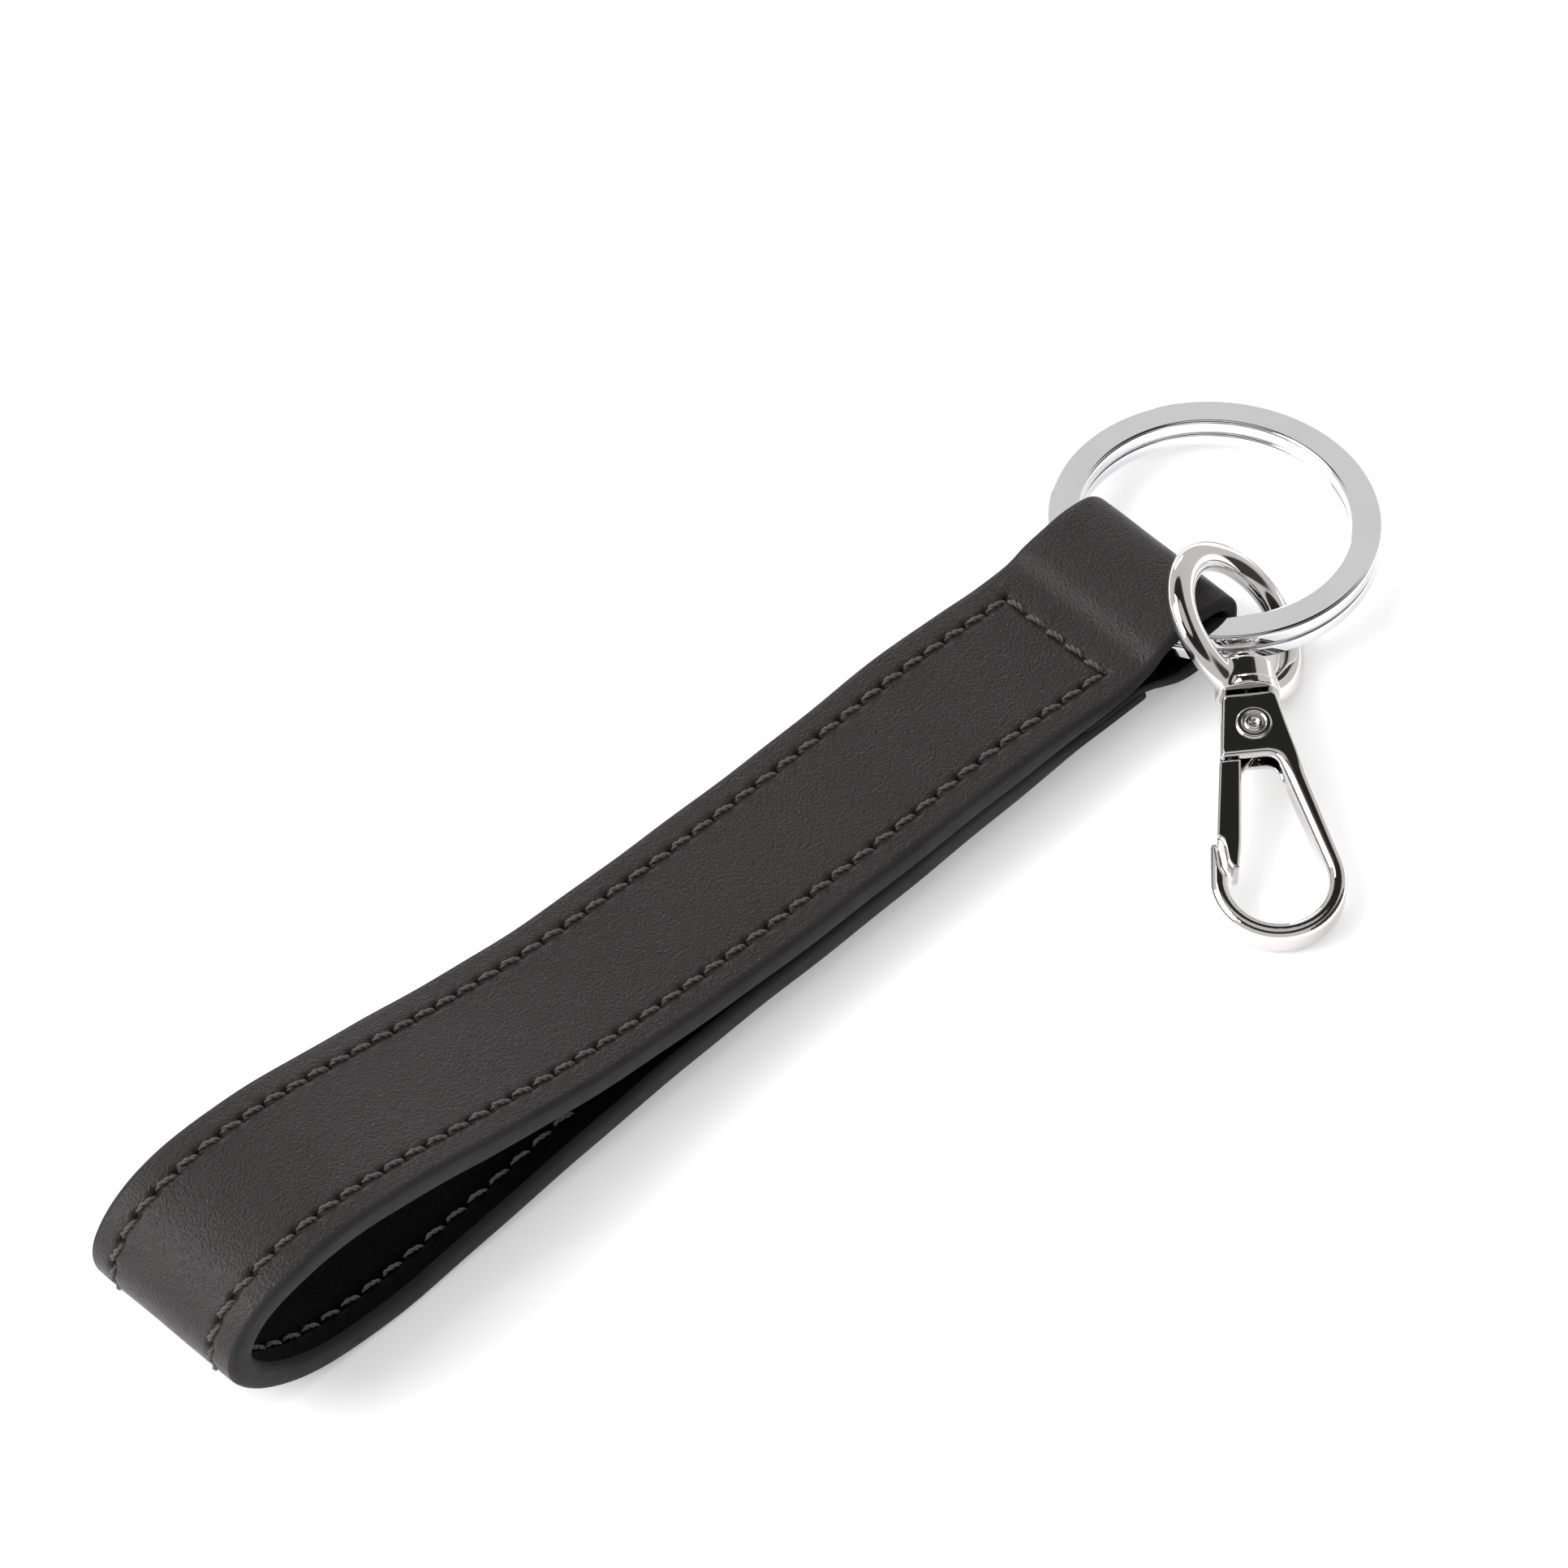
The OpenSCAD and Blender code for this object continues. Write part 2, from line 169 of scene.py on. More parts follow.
def edge_paint():
    n = Nodes("painted_leather_edge")
    streak = n.node("Mapping")
    n.t.links.new(n.xyz, streak.inputs["Vector"])
    streak.inputs["Scale"].default_value = (0.12, 1.0, 1.0)
    line = n.noise(1500, 3, 0.6, streak.outputs["Vector"])
    tone = n.mix(n.span(n.noise(120, 2), 0.35, 0.65, 0, 1), (0.0190, 0.0174, 0.0180, 1), (0.0240, 0.0222, 0.0229, 1))
    b = n.bump(line, 0.00005, 0.35)
    return n.set(Base_Color=tone, Roughness=n.span(n.noise(400, 2), 0.3, 0.7, 0.56, 0.68), Normal=n.bump(n.noise(2600, 2), 0.00002, 0.4, b), Specular_IOR_Level=0.17)


def lining():
    n = Nodes("black_lining_leather")
    tone = n.mix(n.span(n.noise(160, 3), 0.35, 0.65, 0, 1), (0.0022, 0.0021, 0.0021, 1), (0.0038, 0.0036, 0.0036, 1))
    # painted shade: the stitch holes are darkened nearly black in colour
    tone = n.mix(n.attr("hole_dip_and_shade"), tone, (0.001, 0.001, 0.001, 1))
    b = n.bump(n.math("ADD", n.cells(1700, 0.5), n.noise(3000, 3)), 0.00010, 0.6)
    return n.set(Base_Color=tone, Roughness=n.span(n.noise(700, 2), 0.3, 0.7, 0.62, 0.76), Normal=b, Specular_IOR_Level=0.05)


def thread(name, lo, hi):
    n = Nodes(name)
    fibre = n.noise(6500, 3, 0.7)
    tone = n.mix(n.span(fibre, 0.3, 0.7, 0, 1), lo, hi)
    return n.set(Base_Color=tone, Roughness=n.span(n.noise(3000, 2), 0.3, 0.7, 0.55, 0.7), Normal=n.bump(fibre, 0.00005, 0.7), Sheen_Weight=0.15, Specular_IOR_Level=0.35)


def metal(name, colour, r0, r1, wave):
    n = Nodes(name)
    tone = n.mix(n.span(n.noise(140, 2), 0.35, 0.65, 0, 1), colour, tuple(c * 0.965 for c in colour[:3]) + (1.0,))
    return n.set(Base_Color=tone, Metallic=1.0, Roughness=n.span(n.noise(260, 3), 0.3, 0.7, r0, r1), Normal=n.bump(n.noise(170, 1), wave, 0.5))


M_leather, M_edge, M_lining = leather(), edge_paint(), lining()
M_thread = thread("charcoal_twisted_thread", (0.026, 0.0245, 0.023, 1), (0.098, 0.093, 0.085, 1))
M_bobbin = thread("grey_bobbin_thread", (0.07, 0.069, 0.068, 1), (0.19, 0.187, 0.184, 1))
M_steel = metal("polished_ring_steel", (0.83, 0.83, 0.84, 1), 0.045, 0.085, 0.000004)
M_nickel = metal("bright_nickel_plate", (0.70, 0.685, 0.672, 1), 0.025, 0.055, 0.000020)
M_spring = metal("blued_spring_steel", (0.42, 0.42, 0.44, 1), 0.18, 0.3, 0.000002)


# ---------------------------------------------------------------- meshes
def put(name, verts, faces, mats, index=None, shift=True, normals=None, attrs=None):
    """A mesh from points in mm in the working frame."""
    v = (np.asarray(verts, float) + (SHIFT if shift else 0)) / 1000
    me = bpy.data.meshes.new(name)
    me.from_pydata(v.tolist(), [], [tuple(int(i) for i in f) for f in faces])
    for m in mats:
        me.materials.append(m)
    if index is not None:
        me.polygons.foreach_set("material_index", np.asarray(index, np.int32))
    me.polygons.foreach_set("use_smooth", np.ones(len(me.polygons), bool))
    for k, a in (attrs or {}).items():
        me.attributes.new(k, "FLOAT", "POINT").data.foreach_set("value", np.asarray(a, np.float32))
    me.update()
    if normals is not None:
        me.normals_split_custom_set_from_vertices([tuple(x) for x in normals])
    o = bpy.data.objects.new(name, me)
    scene.collection.objects.link(o)
    return o


def rot(axis, deg):
    return np.array(Matrix.Rotation(math.radians(deg), 3, axis))


HOOK_R = rot("Z", -127.9) @ rot("Y", 7.7)
HOOK_P = np.array([42.55, -20, -12.48])
EYE_R = HOOK_R @ rot("X", -42.6)
EYE_P = HOOK_P + HOOK_R @ np.array([-11.9, 0, 0])
RING_R = rot("Y", 4.9) @ rot("X", -3.2)
RING_P = np.array([58.05, 0.05, -13.28])


def tube(points, radius, sides, up, taper=None):
    """Vertices and faces of a round tube along points. up is a direction kept out of the way of the path."""
    P = np.asarray(points, float)
    d = np.gradient(P, axis=0)
    d /= np.linalg.norm(d, axis=1)[:, None]
    a = np.cross(d, up)
    a /= np.linalg.norm(a, axis=1)[:, None]
    b = np.cross(d, a)
    ang = np.arange(sides) * 2 * np.pi / sides
    r = radius * (np.ones(len(P)) if taper is None else np.asarray(taper))
    v = P[:, None] + r[:, None, None] * (np.cos(ang)[None, :, None] * a[:, None] + np.sin(ang)[None, :, None] * b[:, None])
    n = len(P)
    f = [(i * sides + j, i * sides + (j + 1) % sides, (i + 1) * sides + (j + 1) % sides, (i + 1) * sides + j) for i in range(n - 1) for j in range(sides)]
    f.append(tuple(range(sides - 1, -1, -1)))
    f.append(tuple((n - 1) * sides + j for j in range(sides)))
    return v.reshape(-1, 3), f


def merge(parts):
    V, F, k = [], [], 0
    for v, f in parts:
        V.append(v)
        F += [tuple(i + k for i in x) for x in f]
        k += len(v)
    return np.vstack(V), F


# ---------------------------------------------------------------- strap
# Outer face of the strip and its thickness, [x, z, thickness]: lower leaf,
# wrist fold, upper leaf, keeper, fold over the ring, and the tail tucked in.
ROUTE = np.array([[39, -13.8, 1.2], [36, -13.6, 1.2], [30, -13.7, 1.8], [24, -14.0, 2.55],
    [18, -14.2, 2.85], [6, -14.35, 2.85], [-6, -14.45, 2.8], [-18, -14.4, 2.8], [-30, -14.8, 2.8],
    [-42, -16, 2.8], [-52, -17, 2.8], [-60, -17.3, 2.8], [-67, -16.6, 2.8],
    [-72.5, -14.8, 2.8], [-77, -11.8, 2.8], [-79.8, -7.8, 2.8], [-80, -4, 2.8],
    [-77.8, -0.6, 2.8], [-74, 1.5, 2.8], [-68.5, 2.4, 2.8], [-62, 2, 2.8], [-55, 0.5, 2.8],
    [-46, -1.9, 2.8], [-36, -4.5, 2.8], [-26, -6.4, 2.8], [-14, -7.6, 2.8], [-2, -8.25, 2.85],
    [10, -8.45, 2.95], [18, -8.3, 2.95], [24, -8.5, 2.85], [30, -9.15, 2.3], [35, -9.8, 1.8],
    [39, -9.65, 1.6], [41.4, -8.6, 1.6], [44.5, -8.1, 1.6], [47.3, -8.1, 1.6], [50.1, -8.8, 1.6],
    [51.7, -10.5, 1.6], [52, -12.4, 1.6], [51.5, -14.2, 1.6], [49.9, -15.9, 1.6],
    [47, -16.6, 1.6], [44.2, -16.2, 1.3], [41.9, -14.9, 0.95], [39.8, -13.4, 0.8],
    [37.5, -12.5, 0.8], [34, -12.35, 0.75], [31, -12.1, 0.7]])
LAST = len(ROUTE) - 1


def curve(t):
    t = np.atleast_1d(np.asarray(t, float))
    i = np.clip(np.floor(t).astype(int), 0, LAST - 1)
    f = (t - i)[:, None]
    a, b, c, d = (ROUTE[np.clip(i + k, 0, LAST)] for k in (-1, 0, 1, 2))
    return 0.5 * (2 * b + (c - a) * f + (2 * a - 5 * b + 4 * c - d) * f * f + (3 * b - a - 3 * c + d) * f ** 3)


def inward(t):
    p, q = curve(np.maximum(np.asarray(t) - 0.02, 0))[:, :2], curve(np.minimum(np.asarray(t) + 0.02, LAST))[:, :2]
    d = q - p
    l = np.linalg.norm(d, axis=1)
    return np.stack([d[:, 1] / l, -d[:, 0] / l], 1)


dense = np.linspace(0, LAST, 9001)
xz = curve(dense)[:, :2]
arc = np.concatenate([[0], np.cumsum(np.linalg.norm(np.diff(xz, axis=0), axis=1))])
s_of = lambda t: np.interp(t, dense, arc)
t_of = lambda s: np.interp(s, arc, dense)

ROW_Y = 6.4
CROSS_X = 36.1
s_cross = float(s_of(31 + (CROSS_X - 35) / 4))      # on the upper leaf
pitch = 2.8
n_st = int((s_cross - float(s_of(0.9))) / pitch)
holes = s_cross - pitch * np.arange(n_st, -1, -1)   # holes along each long row
cross_holes = np.linspace(-ROW_Y, ROW_Y, 6)
SUB = 10

stations = [np.linspace(0, holes[0], 16)[:-1], np.concatenate([np.linspace(a, b, SUB + 1)[:-1] for a, b in zip(holes[:-1], holes[1:])]),
            np.linspace(holes[-1], arc[-1], int((arc[-1] - holes[-1]) / 0.33))]
stations = np.concatenate(stations)

strap_w = 19.0


def smooth(x):
    x = np.clip(x, 0, 1)
    return x * x * (3 - 2 * x)


def half_width(s):
    """Half the strip's width: it narrows a little over the ring, and widens back part of the way in the hidden tail."""
    x = curve(t_of(s))[:, 0]
    t = t_of(s)
    w = 9.5 - 0.3 * smooth((t - 31) / 3) + 0.22 * smooth((t - 42.5) / 2)
    return w + 0.05 * np.sin(s * 0.19 + 1.0) + 0.03 * np.sin(s * 0.47)


FACE_Y = np.array([0, 1.0, 2.0, 3.0, 3.9, 4.6, 5.15, 5.55, 5.8, 5.98, 6.12, 6.26, 6.4, 6.54, 6.68, 6.82, 7.0, 7.25, 7.6, 8.0, 8.35])


def row_share(s):
    """1 where the long rows run, fading out at their ends."""
    return smooth((s - holes[0] + 1.6) / 1.2) * smooth((s_cross + 0.9 - s) / 0.9)


def face_dip(s, y, inner):
    """How far the leather is pulled in at arc length s (n,) and offset y (n, k), and the painted shade that darkens its
    stitch holes.
    """
    ay = np.abs(y)
    g = row_share(s)[:, None]
    phase = (s - holes[0]) / pitch
    near = (phase - np.round(phase)) * pitch          # distance to the nearest hole
    ok = ((s > holes[0] - 0.8) & (s < s_cross + 0.8))[:, None]
    tight = np.exp(-(near / 0.75) ** 2)[:, None]
    dip = g * (0.12 + 0.13 * tight) * np.exp(-((ay - ROW_Y) / 0.46) ** 2)
    dip -= g * (0.075 * np.exp(-((ay - 7.85) / 0.75) ** 2) + 0.05 * np.exp(-((ay - 5.2) / 0.8) ** 2)) * (1 - 0.35 * tight)
    # hole mask: pulls the leather in at each hole and is also used as painted shade that darkens the hole
    hole_dip_and_shade = ok * np.exp(-(near[:, None] / 0.36) ** 2 - ((ay - ROW_Y) / 0.34) ** 2)
    if not inner:
        across = np.exp(-((s - s_cross) / 0.5) ** 2)[:, None] * (ay < ROW_Y + 0.4)
        dip = np.maximum(dip, 0.16 * across)
        dip -= 0.05 * np.exp(-((s - s_cross - 1.6) / 0.8) ** 2)[:, None] * (ay < 8.2)
        dy = np.min(np.abs(y[:, :, None] - cross_holes[None, None, :]), axis=2)
        hole_dip_and_shade = np.maximum(hole_dip_and_shade, np.exp(-((s - s_cross) / 0.30) ** 2)[:, None] * np.exp(-(dy / 0.28) ** 2))
        dip += 0.04 * smooth((ay - 7.4) / 1.6)
    # slow unevenness of hand-cut leather
    dip += 0.022 * np.sin(s * 0.21 + 0.6)[:, None] * np.cos(y * 0.33 + 0.3) + 0.012 * np.sin(s * 0.63)[:, None] * np.sin(y * 0.8)
    return dip + 0.42 * hole_dip_and_shade, np.clip(1.6 * hole_dip_and_shade, 0, 1)


def strip():
    t = t_of(stations)
    P, N = curve(t), inward(t)
    T = P[:, 2]
    W = half_width(stations)
    r = np.minimum(0.82, 0.46 * T)
    k = 7                                             # steps round each rounded corner
    loops_y, loops_d, kind = [], [], []
    yo = FACE_Y[None, :] * np.ones((len(t), 1))
    far = yo > 7.2
    yo = np.where(far, 7.2 + (yo - 7.2) * ((W - r - 7.2) / (8.68 - 7.2))[:, None], yo)
    y_face = np.concatenate([-yo[:, :0:-1], yo], 1)   # -y .. +y
    do, outer_hole_shade = face_dip(stations, y_face, False)
    di, inner_hole_shade = face_dip(stations, y_face, True)
    di = di * 0.85
    cols = []                                         # (y, depth, painted hole shade, kind)
    for j in range(y_face.shape[1]):
        cols.append((y_face[:, j], do[:, j], outer_hole_shade[:, j], 0))
    o_end, i_end = do[:, -1], di[:, -1]
    for a in np.linspace(0, 90, k + 1):
        c, s_ = math.cos(math.radians(a)), math.sin(math.radians(a))
        cols.append((W - r + r * s_, (r - r * c) * (1 - o_end / r * 0) + o_end * c, 0 * W, 0 if a < 20 else 1))
    for f in (0.25, 0.5, 0.75):
        cols.append((W + 0.05 * math.sin(math.pi * f) + 0.015 * np.sin(stations * 0.9), r + (T - 2 * r) * f, 0 * W, 1))
    for a in np.linspace(90, 0, k + 1):
        c, s_ = math.cos(math.radians(a)), math.sin(math.radians(a))
        cols.append((W - r + r * s_, T - (r - r * c) - i_end * c, 0 * W, 1 if a > 8 else 2))
    for j in range(y_face.shape[1] - 1, -1, -1):
        cols.append((y_face[:, j], T - di[:, j], inner_hole_shade[:, j], 2))
    o_end, i_end = do[:, 0], di[:, 0]
    for a in np.linspace(0, 90, k + 1):
        c, s_ = math.cos(math.radians(a)), math.sin(math.radians(a))
        cols.append((-(W - r + r * s_), T - (r - r * c) - i_end * c, 0 * W, 2 if a < 8 else 1))
    for f in (0.75, 0.5, 0.25):
        cols.append((-(W + 0.05 * math.sin(math.pi * f)), r + (T - 2 * r) * f, 0 * W, 1))
    for a in np.linspace(90, 0, k + 1):
        c, s_ = math.cos(math.radians(a)), math.sin(math.radians(a))
        cols.append((-(W - r + r * s_), (r - r * c) + o_end * c, 0 * W, 1 if a > 20 else 0))
    Y = np.stack([c[0] for c in cols], 1)
    D = np.stack([c[1] for c in cols], 1)
    # painted shade for the stitch holes, stored as a vertex attribute
    hole_dip_and_shade = np.stack([c[2] for c in cols], 1)
    # cut ends, slightly rounded
    e = np.minimum(stations, arc[-1] - stations)
    kk = np.sqrt(np.clip(1 - (1 - np.clip(e / 0.45, 0, 1)) ** 2, 0.02, 1))
    kk = 0.55 + 0.45 * kk
    D = T[:, None] / 2 + (D - T[:, None] / 2) * kk[:, None]
    Y = np.sign(Y) * (np.abs(Y) - 0.5 * (1 - kk[:, None]) * (np.abs(Y) / 9.5))
    V = np.stack([P[:, 0, None] + N[:, 0, None] * D, Y, P[:, 1, None] + N[:, 1, None] * D], 2)
    n, m = Y.shape
    i, j = np.meshgrid(np.arange(n - 1), np.arange(m), indexing="ij")
    a = i * m + j
    b = i * m + (j + 1) % m
    F = np.stack([a, b, b + m, a + m], 2).reshape(-1, 4)
    kinds = np.array([c[3] for c in cols])
    idx = np.minimum(kinds, np.roll(kinds, -1))
    idx = np.where((kinds == 1) | (np.roll(kinds, -1) == 1), 1, idx)
    index = np.tile(idx, n - 1)
    V = V.reshape(-1, 3)
    F = [tuple(x) for x in F] + [tuple(range(m - 1, -1, -1)), tuple((n - 1) * m + q for q in range(m))]
    o = put("leather_strip", V, F, [M_leather, M_edge, M_lining], list(index) + [1, 1], attrs={"hole_dip_and_shade": hole_dip_and_shade.reshape(-1)})
    return o


strip_obj = strip()


# ---------------------------------------------------------------- stitches
def ply_pair(path, up, turn=1.7, r=0.165, off=0.135, sides=7, phase=0.0):
    """Two plies twisted round each other along a path that dives into the leather at both ends."""
    P = np.asarray(path)
    d = np.gradient(P, axis=0)
    d /= np.linalg.norm(d, axis=1)[:, None]
    a = np.cross(d, up)
    a /= np.linalg.norm(a, axis=1)[:, None]
    b = np.cross(d, a)
    u = np.linspace(0, 1, len(P))
    out = []
    taper = 0.55 + 0.45 * np.clip(np.minimum(u, 1 - u) / 0.16, 0, 1) ** 0.7
    for h in (0, math.pi):
        ang = 2 * math.pi * turn * u + h + phase
        Q = P + off * taper[:, None] * (np.cos(ang)[:, None] * a + np.sin(ang)[:, None] * b)
        out.append(tube(Q, r, sides, np.array([0.13, 0.31, 0.94]) if abs(up[1]) < 0.5 else np.array([0.9, 0.1, 0.3]), taper))
    return out


def on_face(s, y, d, inner):
    """Point at arc length s, offset y, and height d above the outer or inner face."""
    t = t_of(s)
    p, n = curve(t), inward(t)
    depth = (p[:, 2] + d) if inner else -d
    return np.stack([p[:, 0] + n[:, 0] * depth, np.broadcast_to(y, (len(p),)), p[:, 1] + n[:, 1] * depth], 1), n


def long_row(name, side, inner, body, mat):
    rng = np.random.default_rng(7 + (side > 0) + 2 * inner)
    parts = []
    u = np.linspace(0, 1, 17)
    for k in range(len(holes) - 1):
        s0, s1 = holes[k], holes[k + 1]
        mid_x, mid_z = curve(t_of(np.array([(s0 + s1) / 2])))[0, :2]
        if inner and mid_x > 27.5:                    # buried where the leaves are sewn together
            continue
        j = rng.uniform(-1, 1, 4)
        s = s0 + (s1 - s0) * (0.10 + 0.80 * u)
        sl = (0.20 if not inner else -0.14) + 0.05 * j[0]
        y = side * ROW_Y + sl * (1 - 2 * smooth(u)) * 1.0 + 0.02 * j[1]
        lift = (0.03 if not inner else 0.04) + 0.03 * j[2] - 0.22 * (0 if inner else 1) * float(mid_z < -13)
        h = -0.48 + (0.48 + lift) * (1 - np.abs(2 * u - 1) ** 3.2)
        P, n = on_face(s, y, h, inner)
        parts += ply_pair(P, np.array([0.0, 1.0, 0.0]), 1.55 + 0.1 * j[3], 0.15 if not inner else 0.125, 0.125 if not inner else 0.10, 7, 1.2 * k)
    v, f = merge(parts)
    o = put(name, v, f, [mat])
    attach(o, body)
    return o


for side, tag in ((1, "left"), (-1, "right")):
    o = long_row("thread_row_" + tag, side, False, "strap", M_thread)
    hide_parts("stitch_row_" + tag)
    o = long_row("bobbin_thread_" + tag, side, True, "strap", M_bobbin)
    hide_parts("bobbin_row_" + tag)

parts = []
u = np.linspace(0, 1, 17)
for k in range(5):
    y = cross_holes[k] + (cross_holes[k + 1] - cross_holes[k]) * (0.10 + 0.80 * u)
    s = s_cross + 0.13 * (1 - 2 * smooth(u))
    h = -0.48 + 0.52 * (1 - np.abs(2 * u - 1) ** 3.2)
    P, n = on_face(s, y, h, False)
    parts += ply_pair(P, np.array([1.0, 0.0, 0.0]), 1.6, 0.155, 0.13, 7, 0.9 * k)
v, f = merge(parts)
o = put("thread_cross_row", v, f, [M_thread])
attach(o, "strap")
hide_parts("cross_stitching")


# ---------------------------------------------------------------- split ring
def ring_section(r0, r1, z0, z1, ch=0.34, k=5):
    pts = []
    for cx, cz, a0 in ((r1 - ch, z0 + ch, -90), (r1 - ch, z1 - ch, 0), (r0 + ch, z1 - ch, 90), (r0 + ch, z0 + ch, 180)):
        for a in np.linspace(a0, a0 + 90, k + 1):
            pts.append((cx + ch * math.cos(math.radians(a)), cz + ch * math.sin(math.radians(a))))
    return np.array(pts)


def split_ring():
    jog_at, jog, wire, gap = 176, 14, 1.6, 0.1
    lo, hi = -gap / 2 - wire, gap / 2
    a = np.concatenate([np.linspace(jog_at + jog, jog_at + 360 - jog, 331)[:-1], np.linspace(jog_at + 360 - jog, jog_at + 360 + jog, 25)[:-1],
                        np.linspace(jog_at + 360 + jog, jog_at + 720 - jog, 331)])
    z = lo + (hi - lo) * smooth((a - (jog_at + 360 - jog)) / (2 * jog))
    sec = ring_section(13.0, 16.0, 0, wire)
    c, s = np.cos(np.radians(a)), np.sin(np.radians(a))
    # the two cut ends are eased
    e = np.minimum(a - a[0], a[-1] - a) * math.pi / 180 * 14.5
    q = 0.72 + 0.28 * np.sqrt(np.clip(1 - (1 - np.clip(e / 0.35, 0, 1)) ** 2, 0, 1))
    mid = np.array([14.5, wire / 2])
    S = mid + (sec[None] - mid) * q[:, None, None]
    V = np.stack([S[:, :, 0] * c[:, None], S[:, :, 0] * s[:, None], S[:, :, 1] + z[:, None]], 2)
    n, m = V.shape[:2]
    F = [(i * m + j, i * m + (j + 1) % m, (i + 1) * m + (j + 1) % m, (i + 1) * m + j) for i in range(n - 1) for j in range(m)]
    F = [tuple(reversed(x)) for x in F]
    F += [tuple(range(m)), tuple((n - 1) * m + j for j in range(m - 1, -1, -1))]
    o = put("split_ring_coil", V.reshape(-1, 3) @ RING_R.T + RING_P, F, [M_steel])
    w = o.modifiers.new("flats", "WEIGHTED_NORMAL")
    w.keep_sharp = False
    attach(o, "ring")
    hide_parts("split_ring")
    return o


split_ring()


# ---------------------------------------------------------------- cast metal
def poly_sd(P, V):
    """Signed distance in the plane to a closed polygon, negative inside."""
    d = np.full(len(P), 1e9)
    s = np.ones(len(P))
    for i in range(len(V)):
        a, b = V[i], V[i - 1]
        e, w = b - a, P - a
        t = np.clip((w @ e) / (e @ e), 0, 1)
        q = w - t[:, None] * e
        d = np.minimum(d, (q * q).sum(1))
        c1, c2, c3 = P[:, 1] >= a[1], P[:, 1] < b[1], e[0] * w[:, 1] > e[1] * w[:, 0]
        s = np.where((c1 & c2 & c3) | (~c1 & ~c2 & ~c3), -s, s)
    return s * np.sqrt(d)


def smin(a, b, k):
    h = np.clip(0.5 + 0.5 * (b - a) / k, 0, 1)
    return b + (a - b) * h - k * h * (1 - h)


def smax(a, b, k):
    return -smin(-a, -b, k)


def slab(d2, w, half, r):
    """A plate of the outline d2 with its rims rounded by r."""
    q0, q1 = d2 + r, np.abs(w) - half + r
    return np.minimum(np.maximum(q0, q1), 0) + np.hypot(np.maximum(q0, 0), np.maximum(q1, 0)) - r


def block(P, lo, hi, r=0.0):
    c, h = (np.array(lo) + np.array(hi)) / 2, (np.array(hi) - np.array(lo)) / 2 - r
    q = np.abs(P - c) - h
    return np.linalg.norm(np.maximum(q, 0), axis=1) + np.minimum(q.max(1), 0) - r


def fillet(pts, radii, steps=5):
    """Corners of a closed polygon cut back by the given lengths and rounded."""
    out = []
    n = len(pts)
    for i in range(n):
        p, a, b = pts[i], pts[i - 1], pts[(i + 1) % n]
        r = radii[i]
        if r <= 0:
            out.append(p)
            continue
        la, lb = np.linalg.norm(a - p), np.linalg.norm(b - p)
        r = min(r, 0.48 * la, 0.48 * lb)
        A, B = p + (a - p) / la * r, p + (b - p) / lb * r
        for u in np.linspace(0, 1, steps + 1):
            out.append((1 - u) ** 2 * A + 2 * u * (1 - u) * p + u * u * B)
    return np.array(out)


def nets(f, lo, hi, h):
    """Surface of f = 0 as quads, one vertex to a cell, each then moved on to the surface."""
    lo, hi = np.array(lo, float), np.array(hi, float)
    n = np.ceil((hi - lo) / h).astype(int) + 1
    ax = [lo[i] + h * np.arange(n[i]) for i in range(3)]
    G = np.stack(np.meshgrid(*ax, indexing="ij"), -1).reshape(-1, 3)
    F = f(G).reshape(n)
    c = n - 1
    sl = lambda o: tuple(slice(o[i], o[i] + c[i]) for i in range(3))
    corners = [(i, j, k) for i in (0, 1) for j in (0, 1) for k in (0, 1)]
    count = sum((F[sl(o)] < 0).astype(int) for o in corners)
    active = (count > 0) & (count < 8)
    idx = np.full(tuple(c), -1)
    idx[active] = np.arange(active.sum())
    base = np.argwhere(active).astype(float)
    acc, num = np.zeros((len(base), 3)), np.zeros(len(base))
    for a in corners:
        for k in range(3):
            if a[k]:
                continue
            b = list(a)
            b[k] = 1
            fa, fb = F[sl(a)][active], F[sl(b)][active]
            x = (fa < 0) != (fb < 0)
            t = np.where(x, fa / np.where(x, fa - fb, 1), 0)
            p = np.tile(np.array(a, float), (len(base), 1))
            p[:, k] += t
            acc += p * x[:, None]
            num += x
    V = lo + h * (base + acc / num[:, None])
    quads = []
    for k in range(3):
        i1, i2 = (k + 1) % 3, (k + 2) % 3
        a = [slice(1, c[i]) for i in range(3)]
        a[k] = slice(0, c[k])
        b = list(a)
        b[k] = slice(1, c[k] + 1)
        A, B = F[tuple(a)], F[tuple(b)]
        for flip, x in ((False, (A < 0) & (B >= 0)), (True, (A >= 0) & (B < 0))):
            g = np.argwhere(x)
            g += np.array([s.start for s in a])
            o1, o2 = np.zeros(3, int), np.zeros(3, int)
            o1[i1], o2[i2] = 1, 1
            q = [g - o1 - o2, g - o2, g, g - o1]
            q = np.stack([idx[tuple(x_.T)] for x_ in q], 1)
            quads.append(q[:, ::-1] if flip else q)
    Q = np.vstack(quads)
    e = 1e-3
    grad = lambda X: np.stack([(f(X + d) - f(X - d)) / (2 * e) for d in np.eye(3) * e], 1)
    for _ in range(3):
        g = grad(V)
        step = f(V)[:, None] * g / np.maximum((g * g).sum(1), 0.05)[:, None]
        l = np.linalg.norm(step, axis=1)[:, None]
        V = V - step * np.minimum(1, 0.6 * h / np.maximum(l, 1e-9))
    g = grad(V)
    return V, Q, g / np.linalg.norm(g, axis=1)[:, None]


def cast(name, f, lo, hi, h, R, P, mat, body, slot, *nodes):
    V, Q, N = nets(f, lo, hi, h)
    o = put(name, V @ R.T + P, Q, [mat], normals=N @ R.T)
    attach(o, body)
    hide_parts(*nodes)
    return o


def arc_pts(cx, r, a0, a1, n):
    a = np.radians(np.linspace(a0, a1, n))
    return [np.array([cx + r * math.cos(x), r * math.sin(x)]) for x in a]


